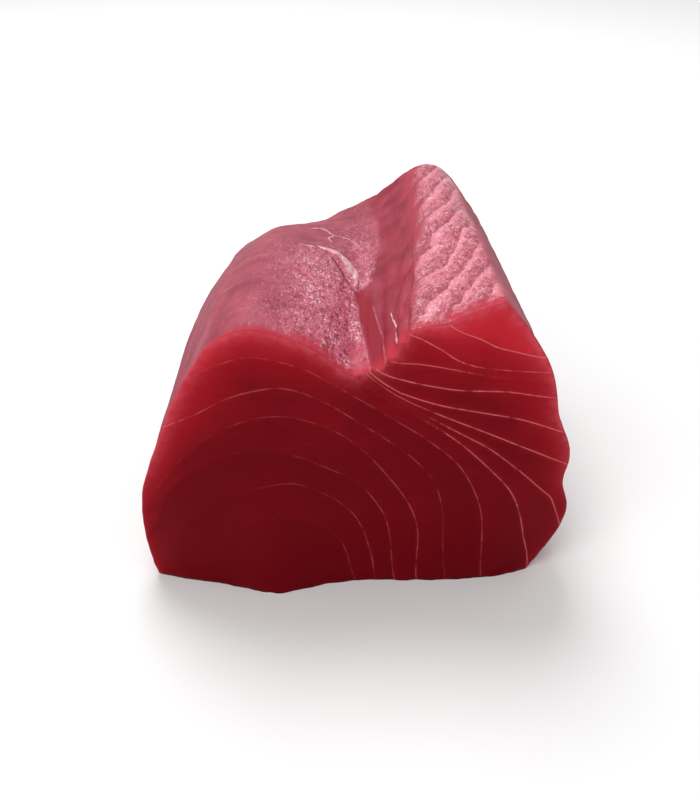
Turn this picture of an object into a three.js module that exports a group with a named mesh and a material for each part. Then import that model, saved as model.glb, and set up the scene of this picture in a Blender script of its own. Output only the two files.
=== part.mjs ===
// A thick block cut from a skinless raw tuna loin. It rests on its flat underside.
// X runs across the front cut from left to right, Y runs back along the loin and Z is up.
// The block is one solid: a lattice box whose six sides are bent onto the loin's own surfaces.
// Its sections are drawn at the front, the middle and the back, and the block flows through them.
import * as THREE from "three";
import { mergeVertices } from "three/addons/utils/BufferGeometryUtils.js";

// Driving dimensions, in millimetres.
const WIDTH = 131; // across the front cut, a little less than its two widest places reach
const HEIGHT = 98; // from the underside to the right-hand shoulder of the front cut
const LENGTH = 138; // from the front cut to the back cut
const MIDDLE = 0.5; // how far back the middle section stands, as a share of LENGTH

// The outline's landmarks, each at the front, the middle and the back section. The first number
// is the share of WIDTH from the left, the second the share of HEIGHT.
const LEFT_SIDE = {
  foot: [[0.006, 0.0], [0.03, 0.0], [0.085, 0.0]],
  heel: [[-0.014, 0.17], [0.01, 0.16], [0.063, 0.14]],
  bulge: [[-0.007, 0.345], [0.01, 0.33], [0.062, 0.28]],
  hip: [[0.025, 0.459], [0.03, 0.44], [0.08, 0.38]],
  flank: [[0.09, 0.679], [0.086, 0.655], [0.125, 0.51]],
  shoulder: [[0.165, 0.855], [0.17, 0.835], [0.195, 0.65]],
};
const TOP = {
  shoulder: LEFT_SIDE.shoulder,
  crown: [[0.253, 0.912], [0.272, 0.914], [0.29, 0.7]],
  brow: [[0.35, 0.884], [0.375, 0.896], [0.385, 0.75]],
  slope: [[0.415, 0.84], [0.45, 0.868], [0.455, 0.797]],
  notch: [[0.49, 0.763], [0.505, 0.828], [0.515, 0.845]],
  firstStep: [[0.528, 0.79], [0.54, 0.838], [0.56, 0.884]],
  secondStep: [[0.561, 0.821], [0.58, 0.864], [0.6, 0.925]],
  thirdStep: [[0.586, 0.872], [0.618, 0.907], [0.635, 0.962]],
  crest: [[0.61, 0.912], [0.65, 0.962], [0.662, 0.987]],
  ridge: [[0.691, 0.932], [0.705, 0.99], [0.702, 1.002]],
  brim: [[0.758, 0.975], [0.757, 0.995], [0.738, 0.993]],
  edge: [[0.812, 1.0], [0.797, 0.98], [0.775, 0.95]],
};
const RIGHT_SIDE = {
  foot: [[0.926, 0.0], [0.915, 0.0], [0.885, 0.0]],
  heel: [[0.984, 0.145], [0.956, 0.145], [0.922, 0.145]],
  chine: [[1.004, 0.285], [0.974, 0.275], [0.94, 0.27]],
  nick: [[0.976, 0.372], [0.962, 0.37], [0.938, 0.365]],
  bulge: [[0.99, 0.495], [0.965, 0.48], [0.938, 0.47]],
  haunch: [[0.946, 0.645], [0.938, 0.635], [0.912, 0.635]],
  flank: [[0.939, 0.737], [0.904, 0.755], [0.875, 0.765]],
  brink: [[0.875, 0.895], [0.852, 0.875], [0.824, 0.865]],
  edge: TOP.edge,
};

// How many lattice cells lie between one landmark of the top and the next, and in the sides.
const TOP_CELLS = [5, 5, 3, 4, 2, 2, 2, 2, 3, 3, 2];
const CELLS_UP = 18;
const CELLS_BACK = 30;

// The steps in the groove's right wall are the torn edges of flakes. Each is a tread and a riser.
const STEP_DEPTH = 1.3; // how far a tread dips below the straight slope
const TREAD_SHIFT = 0.6; // how far it moves towards the riser behind it, for each dip of one
const STEP_REACH = 0.75; // how far back the steps run before they fade, as a share of LENGTH

// The foot of the front cut sags forwards where the flesh has slumped, and draws back at its two
// ends. Each place and spread is a share of WIDTH, each reach is in millimetres.
const SAG = { at: 0.3, spread: 0.11, reach: -6.5 };
const LEFT_DRAW = { at: 0, spread: 0.06, reach: 3.5 };
const RIGHT_DRAW = { at: 1, spread: 0.14, reach: 7.5 };
const FOOT_HEIGHT = 0.75; // the sag has faded this far up, as a share of HEIGHT
// The upper edge of the back cut leans forwards, so that the ridge and the lobe round off.
const BACK_LEAN = 9; // millimetres

const smooth = THREE.MathUtils.smoothstep;
const bell = (value, middle, spread) => Math.exp(-(((value - middle) / spread) ** 2));

// A landmark of the section that stands a share back from the front, in the (x, z) plane.
function landmarkAt(stations, back) {
  const [front, middle, rear] = stations;
  const beforeMiddle = ((back - MIDDLE) * (back - 1)) / MIDDLE;
  const aroundMiddle = (back * (1 - back)) / (MIDDLE * (1 - MIDDLE));
  const beyondMiddle = (back * (back - MIDDLE)) / (1 - MIDDLE);
  const blend = (axis) =>
    front[axis] * beforeMiddle + middle[axis] * aroundMiddle + rear[axis] * beyondMiddle;
  return new THREE.Vector3(blend(0) * WIDTH, 0, blend(1) * HEIGHT);
}

function curveThrough(landmarks, back) {
  const points = Object.values(landmarks).map((stations) => landmarkAt(stations, back));
  return new THREE.CatmullRomCurve3(points, false, "centripetal");
}

// The share of a curve's run at which each lattice line of the top crosses it.
function topShares() {
  const shares = [0];
  TOP_CELLS.forEach((cells, stretch) => {
    for (let cell = 1; cell <= cells; cell += 1) {
      shares.push((stretch + cell / cells) / TOP_CELLS.length);
    }
  });
  return shares;
}

// The lattice line of the top that follows a landmark back along the loin.
function lineOf(landmark) {
  const stretches = TOP_CELLS.slice(0, Object.keys(TOP).indexOf(landmark));
  return stretches.reduce((sum, cells) => sum + cells, 0);
}

// How far a lattice line of the top dips to turn the slope into treads, in millimetres.
function stepDip(line, back) {
  const linesUpSlope = line - lineOf("firstStep");
  const betweenSteps = linesUpSlope > 0 && linesUpSlope % 2 === 1 && line < lineOf("crest");
  return betweenSteps ? STEP_DEPTH * (1 - smooth(back, 0, STEP_REACH)) : 0;
}

// One section of the loin: its top, its two sides and its underside, sampled on the lattice.
function sectionAt(back, shares) {
  const top = curveThrough(TOP, back);
  const left = curveThrough(LEFT_SIDE, back);
  const right = curveThrough(RIGHT_SIDE, back);
  const topPoints = shares.map((share, line) => {
    const dip = stepDip(line, back);
    return top.getPoint(share).add(new THREE.Vector3(dip * TREAD_SHIFT, 0, -dip));
  });
  const up = Array.from({ length: CELLS_UP + 1 }, (_, row) => row / CELLS_UP);
  return {
    top: topPoints,
    left: up.map((share) => left.getPointAt(share)),
    right: up.map((share) => right.getPointAt(share)),
  };
}

// A Coons patch over the section: a point from its lattice line and row, inside or on the outline.
function pointInSection(section, line, row) {
  const lines = section.top.length - 1;
  const across = line / lines;
  const up = row / CELLS_UP;
  const { left, right, top } = section;
  const bottom = new THREE.Vector3().lerpVectors(left[0], right[0], across);
  const sides = new THREE.Vector3().lerpVectors(left[row], right[row], across);
  const ends = new THREE.Vector3().lerpVectors(bottom, top[line], up);
  const rim = new THREE.Vector3().lerpVectors(left[CELLS_UP], right[CELLS_UP], across);
  const plain = new THREE.Vector3().lerpVectors(bottom, rim, up);
  return sides.add(ends).sub(plain);
}

// How far the slump moves a point of the front cut along Y. Negative is forwards.
function slump(point) {
  const across = point.x / WIDTH;
  const low = 1 - smooth(point.z / HEIGHT, 0, FOOT_HEIGHT);
  const moves = [SAG, LEFT_DRAW, RIGHT_DRAW].map(
    ({ at, spread, reach }) => reach * bell(across, at, spread),
  );
  return low ** 2 * moves.reduce((sum, move) => sum + move);
}

function loinGeometry() {
  const shares = topShares();
  const lines = shares.length - 1;
  const box = new THREE.BoxGeometry(1, 1, 1, lines, CELLS_BACK, CELLS_UP);
  box.deleteAttribute("normal");
  box.deleteAttribute("uv");
  const lattice = mergeVertices(box, 0.1 / (lines * CELLS_BACK));
  const sections = Array.from({ length: CELLS_BACK + 1 }, (_, station) =>
    sectionAt(station / CELLS_BACK, shares),
  );
  const positions = lattice.getAttribute("position");
  for (let index = 0; index < positions.count; index += 1) {
    const line = Math.round((positions.getX(index) + 0.5) * lines);
    const station = Math.round((positions.getY(index) + 0.5) * CELLS_BACK);
    const row = Math.round((positions.getZ(index) + 0.5) * CELLS_UP);
    const back = station / CELLS_BACK;
    const point = pointInSection(sections[station], line, row);
    const lean = BACK_LEAN * smooth(point.z / HEIGHT, 0.45, 1) * smooth(back, 0.75, 1);
    point.y = back * LENGTH + slump(point) * (1 - back) ** 3 - lean;
    positions.setXYZ(index, point.x, point.y, point.z);
  }
  lattice.computeVertexNormals();
  return lattice;
}

// The origin is on the underside, below the middle of the block's bounding box.
function centreOnUnderside(mesh) {
  const bounds = new THREE.Box3().setFromObject(mesh);
  const middle = bounds.getCenter(new THREE.Vector3());
  mesh.position.set(-middle.x, -middle.y, -bounds.min.z);
}

const rawFlesh = new THREE.MeshStandardMaterial({ color: 0x7a0f1a, roughness: 0.4, metalness: 0 });
const loin = new THREE.Mesh(loinGeometry(), rawFlesh);
loin.name = "tuna_loin";
centreOnUnderside(loin);

const group = new THREE.Group();
group.add(loin);
export default group;
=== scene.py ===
import math

import bmesh
import bpy
import numpy as np
from mathutils import Euler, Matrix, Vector, noise
from mathutils.kdtree import KDTree


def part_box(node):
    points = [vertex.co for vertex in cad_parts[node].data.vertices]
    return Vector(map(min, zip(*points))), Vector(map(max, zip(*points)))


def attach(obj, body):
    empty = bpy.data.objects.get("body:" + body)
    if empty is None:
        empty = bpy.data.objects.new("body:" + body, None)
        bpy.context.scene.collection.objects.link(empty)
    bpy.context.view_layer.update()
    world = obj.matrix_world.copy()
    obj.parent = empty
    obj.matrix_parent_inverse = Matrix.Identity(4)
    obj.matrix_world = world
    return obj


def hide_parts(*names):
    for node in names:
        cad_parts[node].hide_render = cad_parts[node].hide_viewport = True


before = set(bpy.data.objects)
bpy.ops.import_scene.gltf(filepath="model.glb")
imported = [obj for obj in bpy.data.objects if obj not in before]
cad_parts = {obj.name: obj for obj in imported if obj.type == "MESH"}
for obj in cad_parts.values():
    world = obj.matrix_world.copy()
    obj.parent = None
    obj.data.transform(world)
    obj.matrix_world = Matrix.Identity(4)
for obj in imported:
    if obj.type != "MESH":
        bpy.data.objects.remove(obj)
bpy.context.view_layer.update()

# A block of raw tuna loin. Its cut ends are smooth dark red, and the thin pale sheets between the
# muscle flakes show in them as nested lines. Its outside is paler, and torn along the flakes: a
# satin lobe on the left, a stepped groove, and a ridge on the right that glitters where it is wet.
# The shape is the CAD solid, refined and then given relief.
# Lengths on the block are in millimetres: x runs to the right, y back from the plane of the front
# cut and z up from the underside. x is 0 just inside the bulge low on the left.

MM = 0.001
NODE = "tuna_loin"
BULGE = 1.3  # how far the bulge reaches to the left of x = 0
box_low, box_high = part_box(NODE)

# ---------------------------------------------------------------- the sheets between the flakes

# Each sheet has how clearly it shows in the front cut, from 0 to 1, at its left, in its middle and
# at its right. Its points (x, z) follow, from left to right. The first sheet is the innermost, and
# each next one lies round the last. Where sheets merge, only one of them shows.
FLAKE_SHEETS = [
    ((0.0, 0.05, 0.2), [(20, 3), (27, 20), (44, 27), (60, 18), (65, 2)]),
    (
        (0.05, 0.3, 0.35),
        [
            (5, 8), (15, 26), (27, 34), (38, 37.5), (46, 38.5), (55, 35), (64.5, 27), (70, 13),
            (72, 1),
        ],
    ),
    (
        (0.0, 0.2, 0.4),
        [(3, 22), (9, 36), (18, 43), (35, 50), (46, 48.5), (56, 44), (65, 39), (73, 29), (78, 1)],
    ),
    (
        (0.1, 0.3, 0.4),
        [
            (2, 30), (11, 44), (15, 48.5), (26, 57), (43, 61.5), (60, 56), (75, 41), (84, 25),
            (85, 2),
        ],
    ),
    (
        (0.6, 0.3, 0.25),
        [
            (9, 58), (19, 62.5), (27, 67), (36, 70), (43, 71), (57, 66), (65, 60.5), (89, 39),
            (94, 4),
        ],
    ),
    (
        (0.35, 0.25, 0.4),
        [
            (17, 74), (26, 78.5), (35, 81), (42, 80), (51, 77), (60, 71.5), (76, 61), (88, 52.5),
            (96.5, 44.5), (103, 32), (106, 2),
        ],
    ),
    (
        (0.0, 0.0, 0.75),
        [
            (20, 86), (32, 93), (55, 84), (66, 73), (81, 63), (87, 59.5), (98, 51), (106, 43),
            (112, 36), (121, 8),
        ],
    ),
    (
        (0.0, 0.0, 0.75),
        [
            (32, 99), (60, 86), (67, 75), (81, 65), (89, 60), (98, 54.8), (104.5, 51), (113, 44),
            (126, 31),
        ],
    ),
    (
        (0.0, 0.5, 0.9),
        [
            (32, 101), (61, 88), (68, 76.5), (80, 67), (87, 63.5), (94, 60.3), (104, 56), (115, 51),
            (131, 43.5),
        ],
    ),
    (
        (0.8, 1.0, 0.9),
        [
            (32, 103), (62, 90), (67, 77.5), (73, 72), (80.5, 68.5), (90, 65.3), (103, 62.7),
            (112, 61), (131, 54.5),
        ],
    ),
    (
        (1.0, 0.95, 0.8),
        [
            (64, 90), (69, 79.5), (73, 76), (80, 73.4), (87, 71.7), (94, 70.5), (111, 69.7),
            (118, 68.5), (131, 67),
        ],
    ),
    (
        (1.0, 0.7, 0.0),
        [
            (68, 90), (72, 81.5), (75.5, 79.7), (84, 78.8), (91, 77.6), (97, 76.4), (104, 75),
            (131, 72),
        ],
    ),
    (
        (0.5, 0.9, 0.5),
        [
            (74, 94), (79, 89), (83.5, 87), (90, 83.2), (94, 80.3), (97, 78.8), (100, 78),
            (109, 76.8), (131, 76),
        ],
    ),
    (
        (0.3, 0.8, 0.9),
        [
            (80, 99), (91, 91.5), (95, 89), (100.5, 86.8), (105, 84.4), (110, 83), (116, 81.5),
            (131, 79.5),
        ],
    ),
    ((0.0, 0.0, 0.0), [(90, 101), (100, 96), (114, 89), (128, 84)]),
]
# The angles round the middle of the rings, in degrees, that count as left, middle and right.
LEFT_TURN, MIDDLE_TURN, RIGHT_TURN = 125, 63, 50
RING_MIDDLE = (43, -6)  # the sheets lie round this place, in the plane of the front cut
LEAST_GAP = 1.1  # how close two sheets may come
SHEET_PITCH = 20.0  # how far back along the loin the next sheet comes to the same place
# The level goes on rising past the first and the last sheet, so more rings stand there.
CORE = 0.2  # how far from the middle the inner ring is, as a share of the first sheet
OUTER_GAP = 8  # how far apart the two outer rings are
BEYOND_CORE, BEYOND_RIND = 30, 90  # how far off the rings past those are

# ---------------------------------------------------------------- places on the block

# Lines that run back along the outside, as points (y, x).
GROOVE_LEFT = [(0, 69.5), (12, 68.5), (30, 66.7), (48, 65.5), (55, 70.5), (76, 74), (100, 74), (138, 68)]
CREST = [(0, 80), (16, 81), (40, 82.3), (54, 83.5), (62, 86), (90, 86.2), (138, 87.5)]
RIDGE_EDGE = [(0, 106.5), (70, 104), (138, 101)]
LOWEST_TREAD = [(0, 64), (9, 63.3), (18, 62), (30, 64)]  # beside the groove's front end
SECOND_STEP = [(0, 73.7), (18, 73.5), (30, 72), (40, 71), (138, 70)]

# Strands that lie on the outside, seen from above, as points (x, y). A white sinew crosses the left
# lobe, with a slit along its near side and a thin fork behind it. Another runs along a step.
SINEW = [(45, 68), (50, 68.5), (56, 67.5), (61, 66), (64, 62.5), (65.5, 57.5), (66, 52)]
SLIT = [(57.5, 63), (60.4, 59.6), (62, 56.8), (63.1, 53.8), (63.7, 50.6)]
FORK = [(47, 95), (53, 93.4), (58.5, 86.6), (64, 86.5), (67, 83)]
BRANCH = [(58.5, 86.6), (56.3, 82), (57.5, 78)]
STEP_SINEW = [(76.1, 28), (77, 21), (77.2, 14), (77.2, 6)]
RED_PATCH = (66.6, 46.8)  # a deep red patch by the sinew's tip
FAR = 1000.0  # stands for the distance from a line where that line isn't near
STRAND_REACH = 4  # how far from a strand the distance from it is measured


def curve_points(points, spacing=0.4):
    """Points along a smooth curve through the given ones."""
    knots = np.array(points, float)
    lengths = np.linalg.norm(np.diff(knots, axis=0), axis=1)
    headings = np.gradient(knots, np.append(0, np.cumsum(lengths)), axis=0)
    out = []
    for start, end, length, leave, arrive in zip(knots, knots[1:], lengths, headings, headings[1:]):
        steps = max(2, int(length / spacing))
        t = np.linspace(0, 1, steps, endpoint=False)[:, None]
        bend = length * (leave * t * (1 - t) ** 2 - arrive * t**2 * (1 - t))
        out.append(start + (end - start) * t**2 * (3 - 2 * t) + bend)
    return np.vstack(out + [knots[-1:]])


def nearest(points, spots):
    """For each spot, how far the nearest of the points is, and which one it is."""
    tree = KDTree(len(points))
    for index, point in enumerate(points):
        tree.insert((point[0], point[1], 0.0), index)
    tree.balance()
    found = [tree.find((spot[0], spot[1], 0.0)) for spot in spots]
    return np.array([f[2] for f in found]), np.array([f[1] for f in found])


def smoothstep(start, end, value):
    """0 before the start and 1 past the end, in either direction, with a smooth rise between."""
    t = np.clip((value - start) / (end - start), 0, 1)
    return t * t * (3 - 2 * t)


def bell(value, width):
    return np.exp(-((value / width) ** 2))


# ---------------------------------------------------------------- the refined mesh

# An edge that bends by more than so many degrees keeps this share of its sharpness.
RIM_BEND, RIM_CREASE = 38, 0.45  # rounds the rims of the cuts to about a millimetre
STEP_BEND, STEP_CREASE = 12, 0.8  # keeps the steps in the groove
FOOT_BEND, FOOT_CREASE = 30, 1.0  # keeps the edge of the underside
STEPS_FROM, STEPS_TO = 62, 86  # x of the steps
TOP_ABOVE = 50  # the steps and the strands lie higher than this
ALONG_LOIN = 0.9  # how much of its length an edge along the loin runs back
WELD = 0.02  # vertices this close are one
ON_UNDERSIDE = 0.2  # what lies lower than this belongs to the underside


def in_groove(place):
    across = place.x / MM - box_low.x / MM - BULGE
    return STEPS_FROM < across < STEPS_TO and place.z > TOP_ABOVE * MM


def crease_of(edge):
    """How much of its sharpness an edge keeps when the mesh is subdivided."""
    bend = math.degrees(edge.calc_face_angle(0))
    along = (edge.verts[1].co - edge.verts[0].co).normalized()
    if all(vert.co.z < ON_UNDERSIDE * MM for vert in edge.verts) and bend > FOOT_BEND:
        return FOOT_CREASE
    if bend > RIM_BEND:
        return RIM_CREASE
    if bend > STEP_BEND and abs(along.y) > ALONG_LOIN and in_groove(edge.verts[0].co):
        return STEP_CREASE
    return 0.0


def refined_copy(node):
    """The CAD solid as quads, subdivided twice, with its rims and steps kept."""
    piece = bpy.data.objects.new("tuna_flesh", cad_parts[node].data.copy())
    bpy.context.scene.collection.objects.link(piece)
    work = bmesh.new()
    work.from_mesh(piece.data)
    bmesh.ops.remove_doubles(work, verts=work.verts, dist=WELD * MM)
    bmesh.ops.join_triangles(
        work, faces=work.faces[:], angle_face_threshold=math.pi, angle_shape_threshold=math.pi
    )
    crease = work.edges.layers.float.new("crease_edge")
    for edge in work.edges:
        edge[crease] = crease_of(edge)
    work.to_mesh(piece.data)
    work.free()
    piece.data.polygons.foreach_set("use_smooth", [True] * len(piece.data.polygons))
    subdivision = piece.modifiers.new("refine", "SUBSURF")
    subdivision.levels = subdivision.render_levels = 2
    shown = piece.evaluated_get(bpy.context.evaluated_depsgraph_get())
    refined = bpy.data.meshes.new_from_object(shown)
    piece.modifiers.clear()
    piece.data = refined
    return piece


def triples(items, name):
    values = np.empty(len(items) * 3)
    items.foreach_get(name, values)
    return values.reshape(-1, 3)


flesh = refined_copy(NODE)
mesh = flesh.data
count = len(mesh.vertices)
places = triples(mesh.vertices, "co")
normals = triples(mesh.vertex_normals, "vector")
face_normals = triples(mesh.polygons, "normal")
face_middles = triples(mesh.polygons, "center")

# Every face belongs to the outside, the front cut, the back cut or the underside.
OUTSIDE, FRONT, BACK, UNDER = range(4)
FACES_END = 0.7  # how squarely a face of a cut faces along the loin, at least
FACES_DOWN = 0.9  # how squarely a face of the underside faces down, at least
END_SHARE = 0.2  # each cut lies in this share of the length
side_of = np.full(len(mesh.polygons), OUTSIDE)
share_deep = (face_middles[:, 1] - box_low.y) / (box_high.y - box_low.y)
side_of[(face_normals[:, 1] < -FACES_END) & (share_deep < END_SHARE)] = FRONT
side_of[(face_normals[:, 1] > FACES_END) & (share_deep > 1 - END_SHARE)] = BACK
side_of[(face_normals[:, 2] < -FACES_DOWN) & (face_middles[:, 2] < ON_UNDERSIDE * MM)] = UNDER


def vertices_of(side):
    mask = np.zeros(count, bool)
    for index in np.flatnonzero(side_of == side):
        mask[list(mesh.polygons[index].vertices)] = True
    return mask


on_outside, on_front, on_back, on_under = map(vertices_of, (OUTSIDE, FRONT, BACK, UNDER))

# The plane of the front cut is where its upper part stands.
UPPER_PART = 0.6  # it starts at this share of the height
upper_front = on_front & (places[:, 2] > UPPER_PART * box_high.z)
front_plane = float(np.median(places[upper_front, 1]))
origin = np.array([box_low.x + BULGE * MM, front_plane, 0.0])
x, y, z = ((places - origin) / MM).T

# ---------------------------------------------------------------- following the flow of the loin

MIDDLE_HEIGHT = 0.4  # how high the middle of a section is, as a share of the section's height
TURNS = 360  # the two rims are compared at this many angles round the middle
BLUR, BLUR_SPREAD = 60, 24  # and averaged over this many to each side


def round_of(across, up, middle):
    """Angle and distance round a section's middle."""
    turn = np.arctan2(up - middle[1], across - middle[0])
    return turn, np.hypot(across - middle[0], up - middle[1])


def rim_of(cut):
    """The rim of a cut: its middle, and its angle, distance and y in order of the angle."""
    rim = cut & (on_outside | on_under)
    middle = ((x[rim].min() + x[rim].max()) / 2, MIDDLE_HEIGHT * z[rim].max())
    turn, reach = round_of(x[rim], z[rim], middle)
    order = np.argsort(turn)
    return {"middle": middle, "turn": turn[order], "reach": reach[order], "y": y[rim][order]}


def on_rim(rim, turn, what):
    return np.interp(turn, rim["turn"], rim[what], period=2 * math.pi)


front_rim, back_rim = rim_of(on_front), rim_of(on_back)
share_back = np.clip(y / y[on_back].max(), 0, 1)


def middle_of_section(axis):
    return front_rim["middle"][axis] * (1 - share_back) + back_rim["middle"][axis] * share_back


turn, reach = round_of(x, z, (middle_of_section(0), middle_of_section(1)))


def front_to_back():
    """How much further out the front rim is than the back one, at each angle, without its steps."""
    angles = np.linspace(-math.pi, math.pi, TURNS, endpoint=False)
    ratio = on_rim(front_rim, angles, "reach") / on_rim(back_rim, angles, "reach")
    window = bell(np.arange(-BLUR, BLUR + 1), BLUR_SPREAD)
    padded = np.concatenate([ratio[-BLUR:], ratio, ratio[:BLUR]])
    blurred = np.convolve(padded, window / window.sum(), "valid")
    return np.interp(turn, angles, blurred, period=2 * math.pi)


home_reach = np.where(on_back, reach * front_to_back(), on_rim(front_rim, turn, "reach"))
# Where each vertex would be on the front cut, had the loin's fibres been followed forwards.
home_x = np.where(on_front, x, front_rim["middle"][0] + home_reach * np.cos(turn))
home_z = np.where(on_front, z, front_rim["middle"][1] + home_reach * np.sin(turn))
front_depth = np.where(on_front, 0.0, np.maximum(y - on_rim(front_rim, turn, "y"), 0))
back_depth = np.where(on_back, 0.0, np.maximum(on_rim(back_rim, turn, "y") - y, 0))

# ---------------------------------------------------------------- the level between the sheets


def sheet_radii(turn):
    """How far from the middle of the rings each sheet lies at each angle, innermost first."""
    radii = []
    for _, points in FLAKE_SHEETS:
        line = curve_points(points, 1.0)
        line_turn, line_reach = round_of(line[:, 0], line[:, 1], RING_MIDDLE)
        order = np.argsort(line_turn)
        radii.append(np.interp(turn, line_turn[order], line_reach[order]))
    for inner, outer in zip(radii, radii[1:]):
        np.maximum(outer, inner + LEAST_GAP, out=outer)
    return np.array(radii)


def sheet_level(across, up):
    """A smooth field that is 0 on the first sheet, 1 on the next and so on."""
    turn, reach = round_of(across, up, RING_MIDDLE)
    radii = sheet_radii(turn)
    core, rind = radii[0] * CORE, radii[-1]
    inside = [core - BEYOND_CORE, core]
    outside = [rind + OUTER_GAP, rind + 2 * OUTER_GAP, rind + BEYOND_RIND]
    radii = np.vstack([inside, radii, outside])
    below = np.clip((radii <= reach).sum(0) - 1, 1, len(radii) - 3)
    before, start, end, after = (radii[below + step, np.arange(len(reach))] for step in (-1, 0, 1, 2))
    gap = end - start
    t = np.clip((reach - start) / gap, 0, 1)
    slope_in, slope_out = 2 * gap / (end - before), 2 * gap / (after - start)
    rise = t**2 * (3 - 2 * t) + slope_in * t * (1 - t) ** 2 - slope_out * t**2 * (1 - t)
    return below - len(inside) + rise


def slope_of_level(step=0.3):
    """How fast the level rises in the plane of the front cut, for each millimetre."""
    rise_across = sheet_level(home_x + step, home_z) - level
    rise_up = sheet_level(home_x, home_z + step) - level
    return np.hypot(rise_across, rise_up) / step


def clearness():
    """How clearly the sheets show near each vertex, from 0 to 1."""
    home_turn, _ = round_of(home_x, home_z, RING_MIDDLE)
    home_turn = np.degrees(home_turn)
    numbers = np.arange(len(FLAKE_SHEETS))
    left, middle, right = (
        np.interp(level, numbers, shares) for shares in zip(*(shown for shown, _ in FLAKE_SHEETS))
    )
    clear = left + (middle - left) * smoothstep(LEFT_TURN, MIDDLE_TURN, home_turn)
    return clear + (right - clear) * smoothstep(MIDDLE_TURN, RIGHT_TURN, home_turn)


level = sheet_level(home_x, home_z)
slope = slope_of_level()
# On the outside and the back cut the sheets also follow one another back along the loin.
off_front = ~on_front
level = level - off_front * y / SHEET_PITCH
slope = np.where(off_front, np.hypot(slope, 1 / SHEET_PITCH), slope)
clear = clearness()

# ---------------------------------------------------------------- zones of the outside

# Each zone is a share from 0 to 1 at every vertex. The two numbers in its smoothstep are where it
# is 0 and where it is 1, so every zone fades in over a short stretch.
ON_TOP = 70  # what is higher than this lies on top of the block
TREADS_END = 72  # the lowest tread lies to the left of this


def along_back(line):
    return np.interp(y, *np.array(line, float).T)


def beside(points):
    """How far to the left of a strand, seen from above, each vertex lies, and how far along it.

    It is negative to the right of the strand, and FAR anywhere that isn't close beside it."""
    line = curve_points(points)
    top = on_outside & (z > TOP_ABOVE)
    spots = np.column_stack([x, y])[top]
    near, which = nearest(line, spots)
    heading = np.gradient(line, axis=0)[which]
    gap = spots - line[which]
    side = np.sign(heading[:, 0] * gap[:, 1] - heading[:, 1] * gap[:, 0])
    past_end = ((which == 0) | (which == len(line) - 1)) & (near > 0.5)
    off, along = np.full(count, FAR), np.zeros(count)
    off[top] = np.where(past_end | (near > STRAND_REACH), FAR, near * side)
    along[top] = which / (len(line) - 1)
    return off, along


# 1 where the outside faces up and 0 on its sides.
faces_up = smoothstep(0.15, 0.5, normals[:, 2]) * on_outside
groove_left = along_back(GROOVE_LEFT)
second_step = along_back(SECOND_STEP)
ridge_edge = along_back(RIDGE_EDGE)

# Each flake of the ridge reaches out over the groove in a scallop.
SCALLOP_START = 0.25  # how far before its sheet a scallop begins, as a share of a flake
SCALLOP_REACH = 3.2
scallop_part = (level + SCALLOP_START) - np.floor(level + SCALLOP_START)
scallop = 2.2 * smoothstep(0, 0.3, scallop_part) * (1 - scallop_part) - 0.5
scallop *= smoothstep(4, 14, front_depth)
crest = along_back(CREST) + SCALLOP_REACH * scallop

ridge = smoothstep(-1.2, 1.2, x - crest) * smoothstep(2.5, -1.5, x - ridge_edge) * on_outside
groove = smoothstep(-0.8, 0.8, x - groove_left) * smoothstep(2.5, -1.5, x - crest) * faces_up
# The ridge has a smooth brow along its crest and a smooth band along its outer edge.
BROW_WIDTH, EDGE_WIDTH = 3.2, 2.4
brow = bell(x - crest + 1.0, BROW_WIDTH) * on_outside * smoothstep(2, 12, front_depth)
edge_band = bell(x - ridge_edge, EDGE_WIDTH) * on_outside * (z > ON_TOP)

# The groove is deeper red to the left of its second step, and all across at its front end. One
# more tread, the lowest, lies to the left of that end.
second_tread = smoothstep(0.6, -0.6, x - second_step) * smoothstep(52, 40, y)
second_tread = groove * np.maximum(second_tread, 0.7 * smoothstep(34, 0, y))
lowest_tread = smoothstep(-0.5, 0.8, x - along_back(LOWEST_TREAD)) * (1 - groove) * (x < TREADS_END)
lowest_tread *= smoothstep(26, 12, y) * faces_up
red_patch = bell(np.hypot((x - RED_PATCH[0]) / 1.9, (y - RED_PATCH[1]) / 2.6), 1)
red_patch *= faces_up * (z > ON_TOP)

# The lobe glitters in its front half, faintly at first and then strongly towards the groove. A
# fainter band goes on beside the groove. The ridge glitters all over, up to its brow.
FAINT, STRONG, BAND = 0.22, 0.78, 0.55
BAND_AT, BAND_WIDTH = 67, 9
lobe_glitter = FAINT * smoothstep(26, 44, x) + STRONG * smoothstep(40, 60, x + 0.1 * abs(y - 25))
lobe_glitter *= smoothstep(82, 45, y)
band = BAND * bell(x - BAND_AT, BAND_WIDTH) * smoothstep(120, 70, y)
lobe_glitter = np.maximum(lobe_glitter, band)
lobe_glitter *= (1 - groove) * (1 - ridge) * (1 - 0.75 * lowest_tread) * faces_up * (x < crest)
glitter = np.clip(lobe_glitter + ridge * (1 - brow), 0, 1)

sinew_off, sinew_along = beside(SINEW)
slit_off, slit_along = beside(SLIT)
fork_off, branch_off, step_off = (beside(line)[0] for line in (FORK, BRANCH, STEP_SINEW))
# The sinew is thin at its ends and widest two thirds of the way along.
sinew_half_width = 0.3 + 2.0 * np.sin(np.pi * sinew_along**1.6) ** 1.5
sinew_share = sinew_off / sinew_half_width
sinew = smoothstep(1.3, 0.6, abs(sinew_share))
strand = smoothstep(1.3, 0.2, np.minimum(abs(fork_off), abs(branch_off)))
slit = smoothstep(1.4, 0.2, abs(slit_off)) * np.sin(np.pi * np.clip(slit_along, 0.05, 0.95))

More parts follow.
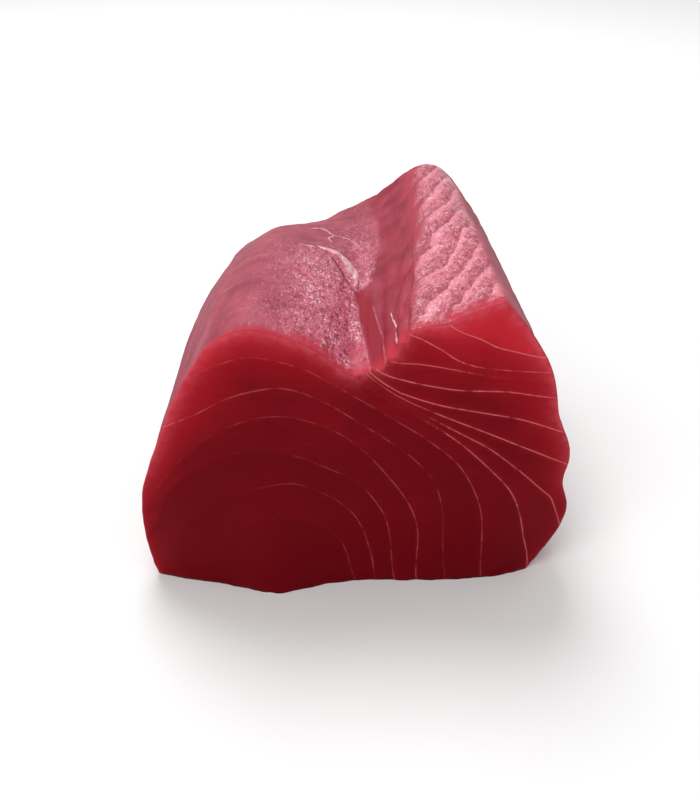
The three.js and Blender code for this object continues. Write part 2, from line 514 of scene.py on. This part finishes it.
# How far back from the front cut the red of the flesh shows through the paler outside: a little
# on the sides, and then more on top, on the lobe's inner slope, in the groove and on the ridge.
RED_ON_SIDES, RED_ON_TOP, RED_ON_SLOPE, RED_IN_GROOVE, RED_ON_RIDGE = 1.2, 1.6, 4.2, 10.0, 3.4
RED_AT_BACK = 0.8
red_on_top = RED_ON_TOP + RED_ON_SLOPE * bell(x - 54, 8) + RED_IN_GROOVE * bell(x - 76.5, 4.5)
red_reach = RED_ON_SIDES + faces_up * red_on_top
red_reach += RED_ON_RIDGE * smoothstep(82, 90, x) * smoothstep(4, -2, x - ridge_edge) * faces_up
redness = np.clip(1 - np.minimum(front_depth, 1.5 * z) / red_reach, -1, 1)
redness = np.maximum(redness, np.clip(RED_AT_BACK - back_depth, -1, 1))

# ---------------------------------------------------------------- relief

# How far each kind of relief stands out from the surface, in millimetres.
BROAD_SWELL, MEDIUM_SWELL, BACK_RIM_SWELL = 0.6, 0.22, 0.4
RIDGE_FLAKES, RIDGE_FLAKES_FAR = 0.25, 0.3  # the second is added towards the back
LOBE_FLAKES, GLITTER_FLAKES = 0.2, 0.15
GRAINS, SKIN, FOLDS = 0.30, 0.06, 0.25
GROOVE_DEPTH, SLIT_DEPTH = 0.5, 0.8
SINEW_RISE, STRAND_RISE = 0.9, 0.35
CUT_FLAKES, CUT_SWELL = 0.22, 0.15
FOOT_WAVE = 0.55
SCALLOP_BULGE = 1.2


def grain(size, seed, octaves, stretch=(1, 1, 1)):
    """Smooth noise, mostly from -1 to 1, whose waves are size millimetres long."""
    offset = Vector((seed * 17.3, seed * 5.1, -seed * 9.7))
    spots = np.column_stack([x / stretch[0], y / stretch[1], z / stretch[2]]) / size
    return np.array([noise.fractal(Vector(spot) + offset, 1.0, 2.0, octaves) for spot in spots])


broad, medium = grain(26, 1, 2), grain(8, 2, 3)
fine, folds = grain(2.6, 3, 2), grain(3.5, 5, 2, stretch=(1, 5, 2))
off_cuts = smoothstep(1, 8, front_depth) * smoothstep(1, 8, back_depth)


def flake_relief(torn):
    """Flakes whose outer edges stand up, and that fall away behind them, in some places more."""
    part = torn - np.floor(torn)
    rise = smoothstep(0, 0.12, part) * (1 - part) ** 1.5 - 0.3
    rise *= 0.3 + smoothstep(-0.5, 0.7, grain(17, 7, 2))
    satin_lobe = (1 - glitter) * (1 - groove)
    height = (RIDGE_FLAKES + RIDGE_FLAKES_FAR * smoothstep(30, 85, y)) * ridge * (1 - edge_band)
    height = height + LOBE_FLAKES * satin_lobe + GLITTER_FLAKES * lobe_glitter
    return rise * off_cuts * height


def outside_relief(torn):
    relief = BROAD_SWELL * broad + MEDIUM_SWELL * medium * (1 - 0.5 * groove)
    relief += BACK_RIM_SWELL * medium * smoothstep(30, 5, back_depth)
    relief += flake_relief(torn)
    relief += fine * off_cuts * (GRAINS * glitter + SKIN)
    relief += FOLDS * folds * groove
    relief -= GROOVE_DEPTH * groove * smoothstep(6, 20, front_depth)
    relief += SINEW_RISE * sinew + STRAND_RISE * strand - SLIT_DEPTH * slit * (1 - sinew)
    return relief * on_outside * smoothstep(0, 5, z)


def cut_relief():
    """The cuts are flat, but each flake swells a little between its sheets."""
    on_cut = (on_front | on_back) & ~on_outside
    part = level - np.floor(level)
    swell = 0.5 * np.sin(np.pi * part) * np.clip(clear, 0.2, 1) - 0.2
    return on_cut * smoothstep(0, 4, z) * (CUT_FLAKES * swell + CUT_SWELL * broad)


# Where the outside is torn, the edges of its flakes waver.
torn = level + 0.2 * broad + 0.11 * medium + 0.05 * fine
relief = outside_relief(torn) + cut_relief()
# The bottom edge isn't straight.
outline = normals[:, :2] / np.maximum(np.linalg.norm(normals[:, :2], axis=1), 0.3)[:, None]
foot_wave = FOOT_WAVE * grain(5, 6, 2) * smoothstep(9, 0, z) * (on_outside | on_front | on_back)

moved = places + normals * relief[:, None] * MM
moved[:, 0] -= SCALLOP_BULGE * scallop * bell(x - crest, 5) * off_cuts * faces_up * MM
moved[:, :2] += outline * foot_wave[:, None] * MM
moved[:, 2] = np.where(on_under, 0.0, np.maximum(moved[:, 2], 0.0))
mesh.vertices.foreach_set("co", moved.ravel())

# ---------------------------------------------------------------- values for the materials

DEEP_INSIDE = 60.0  # stands for the distance from a rim away from the cuts
# Places (x, z) in the front cut.
UNDER_NOTCH, THIN_CORNER = (70, 74), (109, 92)
BLUSH_DEPTH = 1.6  # how far into the front cut its rim is paler
GROOVE_EDGE_END, STEP_EDGE_END = 47, 38  # how far back the two edges in the groove are pale


def keep(name, values):
    """Stores a value for each vertex, which the materials read by its name."""
    layer = mesh.attributes.new(name, "FLOAT", "POINT")
    layer.data.foreach_set("value", np.asarray(values, np.float32))


def rim_distance():
    """How far inside its outline each vertex of a cut lies."""
    away = np.full(count, DEEP_INSIDE)
    flat = np.column_stack([x, z])
    for cut in (on_front, on_back):
        away[cut], _ = nearest(flat[cut & on_outside], flat[cut])
    return away


def on_top_from_front(distance, back):
    """The distance from an edge in the groove, as far back as that edge can be seen."""
    return np.where((faces_up > 0.05) & (y < back) & (z > 60), distance, FAR)


def close_to(place, width):
    """1 at a place in the front cut, fading to 0 round it."""
    return bell(np.hypot(home_x - place[0], home_z - place[1]), width)


# Painted glow: the cut's colour is lighter where light would come through the flesh near the upper
# rim, most of all at the thin right corner and least of all under the notch. The painted glow is
# also weaker below that corner, and the right half is a little lighter all over.
high_up = smoothstep(18, 82, home_z)
inside_rim = rim_distance()
painted_glow = (0.38 + 0.6 * high_up) * np.exp(-inside_rim / (3.5 + 7.5 * high_up))
painted_glow *= 1 - 0.8 * close_to(UNDER_NOTCH, 21)
painted_glow *= 1 - 0.4 * smoothstep(80, 112, home_x) * smoothstep(90, 74, home_z)
painted_glow += 0.42 * close_to(THIN_CORNER, 16)
painted_glow += 0.05 * smoothstep(40, 100, home_x) * smoothstep(0, 40, home_z)
blush = on_front * np.exp(-inside_rim / BLUSH_DEPTH) * smoothstep(25, 60, home_z)

keep("sheet_level", level)
keep("torn_level", torn)
keep("sheet_gap", np.clip(1 / np.maximum(slope, 0.02), 0, 20))  # millimetres between sheets
keep("sheet_clear", clear)
keep("painted_glow", np.clip(painted_glow, 0, 1))
keep("blush", blush)
keep("redness", redness)
keep("groove", groove)
keep("second_tread", second_tread)
keep("lowest_tread", lowest_tread)
keep("red_patch", red_patch)
keep("groove_edge", on_top_from_front(x - groove_left, GROOVE_EDGE_END))
keep("step_edge", on_top_from_front(x - second_step, STEP_EDGE_END))
keep("ridge", ridge)
keep("brow", np.clip(brow + edge_band, 0, 1))
keep("glitter", glitter)
keep("steep", 1 - smoothstep(0.2, 0.7, np.abs(normals[:, 2])))
keep("sinew", sinew_share)
keep("slit", slit_off)
keep("fork", fork_off)
keep("branch", branch_off)
keep("step_sinew", step_off)

# ---------------------------------------------------------------- colours


def linear(red, green, blue):
    """A colour picked in sRGB, 0 to 255, as the renderer needs it."""
    shares = (red / 255, green / 255, blue / 255)
    return tuple(v / 12.92 if v <= 0.04045 else ((v + 0.055) / 1.055) ** 2.4 for v in shares) + (1.0,)


# The cuts, darker in the middle and lighter towards the rims by a painted glow where light would come
# through, and the sheets in them.
CUT_DARK = linear(100, 0, 11)
CUT_MIDDLE = linear(145, 12, 27)
CUT_PAINTED_GLOW = linear(184, 32, 44)
CUT_BLUSH = linear(206, 84, 98)
CUT_HAZE = linear(150, 38, 46)
CUT_SHEET = linear(226, 112, 114)
# The smooth parts of the outside, its sides and its edges.
LOBE_DARK = linear(138, 55, 70)
LOBE_LIGHT = linear(165, 74, 90)
GROOVE_DARK = linear(132, 36, 54)
GROOVE_LIGHT = linear(158, 57, 75)
TREAD = linear(142, 24, 42)
LOWEST = linear(176, 68, 84)
PATCH = linear(150, 8, 30)
BROW = linear(168, 60, 76)
SIDE = linear(126, 50, 62)
PALE_EDGE = linear(200, 118, 132)
RED_RIM = linear(184, 50, 65)
# The wet, granular parts, whose pale specks are partly painted glints, and the colour of the painted
# glints on them.
GLITTER_DARK = linear(130, 34, 56)
GLITTER_LIGHT = linear(228, 122, 146)
RIDGE_DARK = linear(150, 44, 62)
RIDGE_LIGHT = linear(214, 120, 138)
PAINTED_GLINT = linear(244, 206, 216)
# The strands.
SINEW_DARK = linear(200, 140, 152)
SINEW_LIGHT = linear(240, 208, 214)
SLIT_RED = linear(108, 22, 40)
FLOOR = linear(238, 238, 238)

# ---------------------------------------------------------------- materials


class Nodes:
    """Short ways to add nodes to a material. Each returns the socket it makes."""

    def __init__(self, name):
        self.material = bpy.data.materials.new(name)
        self.material.use_nodes = True
        self.tree = self.material.node_tree
        self.shader = self.tree.nodes["Principled BSDF"]

    def add(self, kind, inputs=(), output=0, **settings):
        node = self.tree.nodes.new(kind)
        for name, value in settings.items():
            setattr(node, name, value)
        for socket, value in dict(inputs).items():
            self.put(node.inputs[socket], value)
        return node.outputs[output]

    def put(self, socket, value):
        if isinstance(value, bpy.types.NodeSocket):
            self.tree.links.new(value, socket)
        else:
            socket.default_value = value

    def value(self, name):
        return self.add("ShaderNodeAttribute", output="Fac", attribute_name=name)

    def math(self, operation, a, b=0.0, clamp=False):
        return self.add("ShaderNodeMath", {0: a, 1: b}, operation=operation, use_clamp=clamp)

    def plus(self, *values):
        total = values[0]
        for value in values[1:]:
            total = self.math("ADD", total, value)
        return total

    def times(self, *values):
        product = values[0]
        for value in values[1:]:
            product = self.math("MULTIPLY", product, value)
        return product

    def less(self, value):
        """1 minus the value."""
        return self.math("SUBTRACT", 1.0, value, clamp=True)

    def ramp(self, value, low, high, to_low=0.0, to_high=1.0):
        """The value brought from one range to another, with a smooth start and end."""
        inputs = {"Value": value, "From Min": low, "From Max": high, "To Min": to_low, "To Max": to_high}
        return self.add("ShaderNodeMapRange", inputs, interpolation_type="SMOOTHSTEP")

    def mix(self, share, a, b):
        return self.add("ShaderNodeMix", {0: share, 6: a, 7: b}, 2, data_type="RGBA")

    def noise(self, size_mm, detail, roughness=0.6, stretch=(1, 1, 1)):
        """Noise from 0 to 1 whose waves are size_mm long, lengthened by stretch."""
        spots = self.add("ShaderNodeTexCoord", output="Object")
        spots = self.add("ShaderNodeMapping", {"Vector": spots, "Scale": tuple(1 / s for s in stretch)})
        inputs = {"Vector": spots, "Scale": 1 / (size_mm * MM), "Detail": detail, "Roughness": roughness}
        return self.add("ShaderNodeTexNoise", inputs, "Fac")

    def bump(self, height, strength, depth_mm):
        inputs = {"Height": height, "Strength": strength, "Distance": depth_mm * MM}
        return self.add("ShaderNodeBump", inputs)

    def finish(self, **sockets):
        for name, value in sockets.items():
            self.put(self.shader.inputs[name.replace("_", " ")], value)
        return self.material


def sheet_line(n, half_width, soft, waver=0.03):
    """1 on the pale sheets between the flakes, 0 away from them, with widths in millimetres."""
    level = n.plus(n.value("sheet_level"), n.times(n.noise(9, 4), waver), -waver / 2)
    off = n.math("SUBTRACT", level, n.math("ROUND", level))
    away = n.times(n.math("ABSOLUTE", off), n.value("sheet_gap"))
    return n.ramp(away, half_width, half_width + soft, 1.0, 0.0)


def strand_line(n, name, half_width, soft):
    """1 along the strand that a value measures the distance from, fading to 0 beside it."""
    return n.ramp(n.math("ABSOLUTE", n.value(name)), half_width, half_width + soft, 1.0, 0.0)


def flake_tint(n):
    """A number from 0 to 1 that differs from flake to flake."""
    number = n.math("FLOOR", n.value("sheet_level"))
    return n.add("ShaderNodeTexWhiteNoise", {"W": number}, noise_dimensions="1D")


def cut_colour(n, streaks):
    """Dark red, with a painted glow where light would come through, and paler at the upper rim."""
    mottle = n.ramp(n.noise(15, 4, 0.5), 0.3, 0.7, -0.03, 0.03)
    painted_glow = n.plus(n.value("painted_glow"), mottle, n.times(flake_tint(n), 0.05))
    painted_glow = n.plus(painted_glow, n.ramp(streaks, 0.3, 0.75, -0.02, 0.04))
    # Each flake is a little lighter just outside a sheet than it is just inside the next one.
    painted_glow = n.plus(painted_glow, n.ramp(n.math("FRACT", n.value("sheet_level")), 0.0, 1.0, 0.028, -0.028))
    # The colour runs from dark red in the middle to the painted glow at the rims.
    colour = n.mix(n.ramp(painted_glow, -0.02, 0.5), CUT_DARK, CUT_MIDDLE)
    colour = n.mix(n.ramp(painted_glow, 0.4, 1.05), colour, CUT_PAINTED_GLOW)
    # Right at its upper rim the cut takes on some of the paler outside.
    blush = n.times(n.value("blush"), n.ramp(n.noise(2.5, 3), 0.3, 0.65, 0.4, 1.0), 0.75)
    return n.mix(blush, colour, CUT_BLUSH)


def cut_material():
    """The smooth cut through the muscle: dark red, with the thin pale sheets in it."""
    n = Nodes("cut_flesh")
    streaks = n.noise(0.9, 3, 0.6, stretch=(16, 4, 1))
    clear = n.value("sheet_clear")
    line = sheet_line(n, 0.05, 0.25)
    haze = sheet_line(n, 0.1, 1.5)
    # The sheets are broken where they are faint, and brighter in small beads.
    broken = n.ramp(n.plus(n.noise(5, 3), n.times(clear, 0.22)), 0.46, 0.72, 0.08, 1.0)
    beads = n.ramp(n.noise(1.6, 2), 0.62, 0.72)
    shown = n.times(clear, broken)
    colour = n.mix(n.times(haze, shown, 0.16), cut_colour(n, streaks), CUT_HAZE)
    colour = n.mix(n.times(line, n.plus(shown, n.times(shown, beads, 0.9)), 0.7), colour, CUT_SHEET)
    height = n.plus(n.times(streaks, 0.3), n.times(line, shown, 0.5))
    return n.finish(
        Base_Color=colour,
        Roughness=n.ramp(n.noise(3, 3), 0.2, 0.8, 0.34, 0.48),
        Normal=n.bump(height, 0.3, 0.2),
        Specular_IOR_Level=0.05,
        Subsurface_Weight=0.12,
        Subsurface_Radius=(0.003, 0.0005, 0.0004),
        Subsurface_Scale=0.5,
    )


def satin_colour(n, folds, brow):
    """The smooth parts of the outside: the lobe, the groove with its treads, and the brow."""
    tone = n.plus(n.times(n.noise(11, 4, 0.55), 0.6), n.times(folds, 0.4))
    tone = n.ramp(tone, 0.35, 0.65)
    lobe = n.mix(tone, LOBE_DARK, LOBE_LIGHT)
    colour = n.mix(n.value("groove"), lobe, n.mix(tone, GROOVE_DARK, GROOVE_LIGHT))
    colour = n.mix(n.value("second_tread"), colour, TREAD)
    colour = n.mix(n.value("lowest_tread"), colour, LOWEST)
    colour = n.mix(n.value("red_patch"), colour, PATCH)
    return n.mix(n.times(brow, 0.85), colour, BROW)


def strand_colours(n, colour, tone):
    """The colour with the pale edges of the treads, the slit and the white strands laid on it."""
    for name in ("groove_edge", "step_edge"):
        edge = n.times(strand_line(n, name, 0.02, 0.28), n.ramp(n.noise(4, 3), 0.35, 0.6, 0.1, 0.55))
        colour = n.mix(edge, colour, SINEW_DARK)
    colour = n.mix(n.times(strand_line(n, "slit", 0.15, 0.6), 0.9), colour, SLIT_RED)
    # The sinew's own value is a share of its half width. The others are in millimetres.
    white = n.times(strand_line(n, "sinew", 0.6, 0.5), n.ramp(n.noise(1.4, 3), 0.25, 0.6, 0.5, 0.95))
    # Each strand's value, its half width, its soft edge and how strongly it shows.
    strands = (("fork", 0.1, 0.45, 0.8), ("branch", 0.1, 0.4, 0.65), ("step_sinew", 0.02, 0.25, 0.95))
    for name, half_width, soft, strength in strands:
        white = n.math("MAXIMUM", white, n.times(strand_line(n, name, half_width, soft), strength))
    return n.mix(white, colour, n.mix(tone, SINEW_DARK, SINEW_LIGHT))


def outer_material():
    """The outside of the loin: dusky pink, granular and glittering in parts, satin in others."""
    n = Nodes("outer_flesh")
    groove, ridge, brow, steep = map(n.value, ("groove", "ridge", "brow", "steep"))
    crumbs = n.noise(1.5, 2, 0.6, stretch=(1, 2, 1))
    specks = n.noise(0.7, 2, 0.75, stretch=(1, 1.6, 1))
    folds = n.noise(4, 4, 0.6, stretch=(1, 4, 1))
    # The red of the flesh ends in a ragged line, most of all where the outside glitters.
    ragged = n.times(n.plus(n.noise(2.2, 3), -0.5), n.plus(n.value("glitter"), 0.4), 1.8)
    red = n.ramp(n.plus(n.value("redness"), ragged), -0.3, 1.1, 0.0, 0.95)
    glitter = n.times(n.value("glitter"), n.less(red))
    # On the ridge, each flake ends in a pale edge, with a darker band behind it.
    level = n.plus(n.value("torn_level"), n.times(n.noise(4, 4), 0.3), -0.15)
    part = n.math("FRACT", level)
    pale_edge = n.times(n.ramp(part, 0.0, 0.06), n.ramp(part, 0.1, 0.4, 1.0, 0.0))
    dark_back = n.times(n.ramp(part, 0.55, 0.9), n.ramp(part, 0.97, 1.0, 1.0, 0.0))
    # A granular speckle; its pale specks are partly painted glints.
    tone = n.plus(n.times(crumbs, 0.45), n.times(specks, 0.55))
    tone = n.plus(tone, n.times(pale_edge, ridge, 0.2), n.times(dark_back, ridge, -0.09))
    tone = n.ramp(tone, 0.36, 0.64)
    dark, light = n.mix(ridge, GLITTER_DARK, RIDGE_DARK), n.mix(ridge, GLITTER_LIGHT, RIDGE_LIGHT)
    colour = n.mix(glitter, satin_colour(n, folds, brow), n.mix(tone, dark, light))
    # Painted glints: pale specks of reflected light painted where the outside glitters, fainter on the
    # ridge and more on its pale edges.
    painted_glints = n.plus(n.times(n.noise(0.7, 1, stretch=(1, 2, 1)), 0.65), n.times(n.noise(5, 3), 0.35))
    painted_glints = n.ramp(n.plus(painted_glints, n.times(pale_edge, ridge, 0.05)), 0.55, 0.64)
    colour = n.mix(n.times(painted_glints, glitter, n.ramp(ridge, 0.0, 1.0, 0.75, 0.35)), colour, PAINTED_GLINT)
    colour = n.mix(n.times(steep, n.less(groove), 0.75), colour, SIDE)
    line = n.times(sheet_line(n, 0.1, 0.7, 0.25), n.ramp(n.noise(4, 4), 0.42, 0.65), n.less(groove), 0.25)
    colour = n.mix(line, colour, PALE_EDGE)
    colour = n.mix(red, colour, RED_RIM)
    grit = n.times(n.plus(n.times(specks, 0.6), n.times(crumbs, 0.8)), n.plus(glitter, 0.12))
    height = n.plus(grit, n.times(folds, 0.2))
    # It's wet where it glitters, and duller down the sides and where the red shows.
    dull = n.math("MAXIMUM", steep, red)
    roughness = n.plus(n.ramp(glitter, 0.0, 1.0, 0.55, 0.35), n.times(dull, 0.3))
    return n.finish(
        Base_Color=strand_colours(n, colour, tone),
        Roughness=n.math("MINIMUM", n.plus(roughness, n.times(specks, 0.1)), 1.0),
        Normal=n.bump(height, 0.8, 0.5),
        Specular_IOR_Level=0.14,
        Coat_Weight=n.times(n.ramp(glitter, 0.0, 1.0, 0.03, 0.35), n.less(steep)),
        Coat_Roughness=0.2,
        Subsurface_Weight=0.08,
        Subsurface_Radius=(0.003, 0.0008, 0.0006),
        Subsurface_Scale=0.4,
    )


mesh.materials.clear()
mesh.materials.append(outer_material())
mesh.materials.append(cut_material())
mesh.polygons.foreach_set("material_index", (side_of != OUTSIDE).astype(np.int32))
mesh.update()
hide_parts(NODE)
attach(flesh, "root")

# ---------------------------------------------------------------- floor, light and camera

# From here on, sizes and places are in metres.

bpy.ops.mesh.primitive_plane_add(size=8)
floor = bpy.context.object
floor.name = "floor"
pale_floor = Nodes("pale_floor").finish(Base_Color=FLOOR, Roughness=0.9, Specular_IOR_Level=0.2)
floor.data.materials.append(pale_floor)


def soft_light(name, place, size, power):
    """A round soft light that points at the middle of the block."""
    light = bpy.data.lights.new(name, "AREA")
    light.shape = "DISK"
    light.size = size
    light.energy = power
    lamp = bpy.data.objects.new(name, light)
    lamp.location = place
    to_block = Vector((0, 0, box_high.z / 2)) - Vector(place)
    lamp.rotation_euler = to_block.to_track_quat("-Z", "Y").to_euler()
    bpy.context.scene.collection.objects.link(lamp)


soft_light("top_light", place=(-0.25, 0.65, 1.35), size=0.9, power=14)
soft_light("front_light", place=(-0.8, -1.1, 1.0), size=0.9, power=8)

world = bpy.data.worlds.new("studio")
world.use_nodes = True
background = world.node_tree.nodes["Background"]
background.inputs["Color"].default_value = (1, 1, 1, 1)
background.inputs["Strength"].default_value = 0.65
bpy.context.scene.world = world

ELEVATION = math.radians(30)
DISTANCE = 0.2898  # from the lens to the place it aims at
AIM = (-0.0016, front_plane, 0.683 * box_high.z)
camera_data = bpy.data.cameras.new("camera")
camera_data.lens = 45
camera = bpy.data.objects.new("camera", camera_data)
camera.rotation_euler = Euler((math.pi / 2 - ELEVATION, 0, 0))
camera.location = Vector(AIM) + DISTANCE * Vector((0, -math.cos(ELEVATION), math.sin(ELEVATION)))
bpy.context.scene.collection.objects.link(camera)
bpy.context.scene.camera = camera
bpy.context.scene.view_settings.view_transform = "Standard"
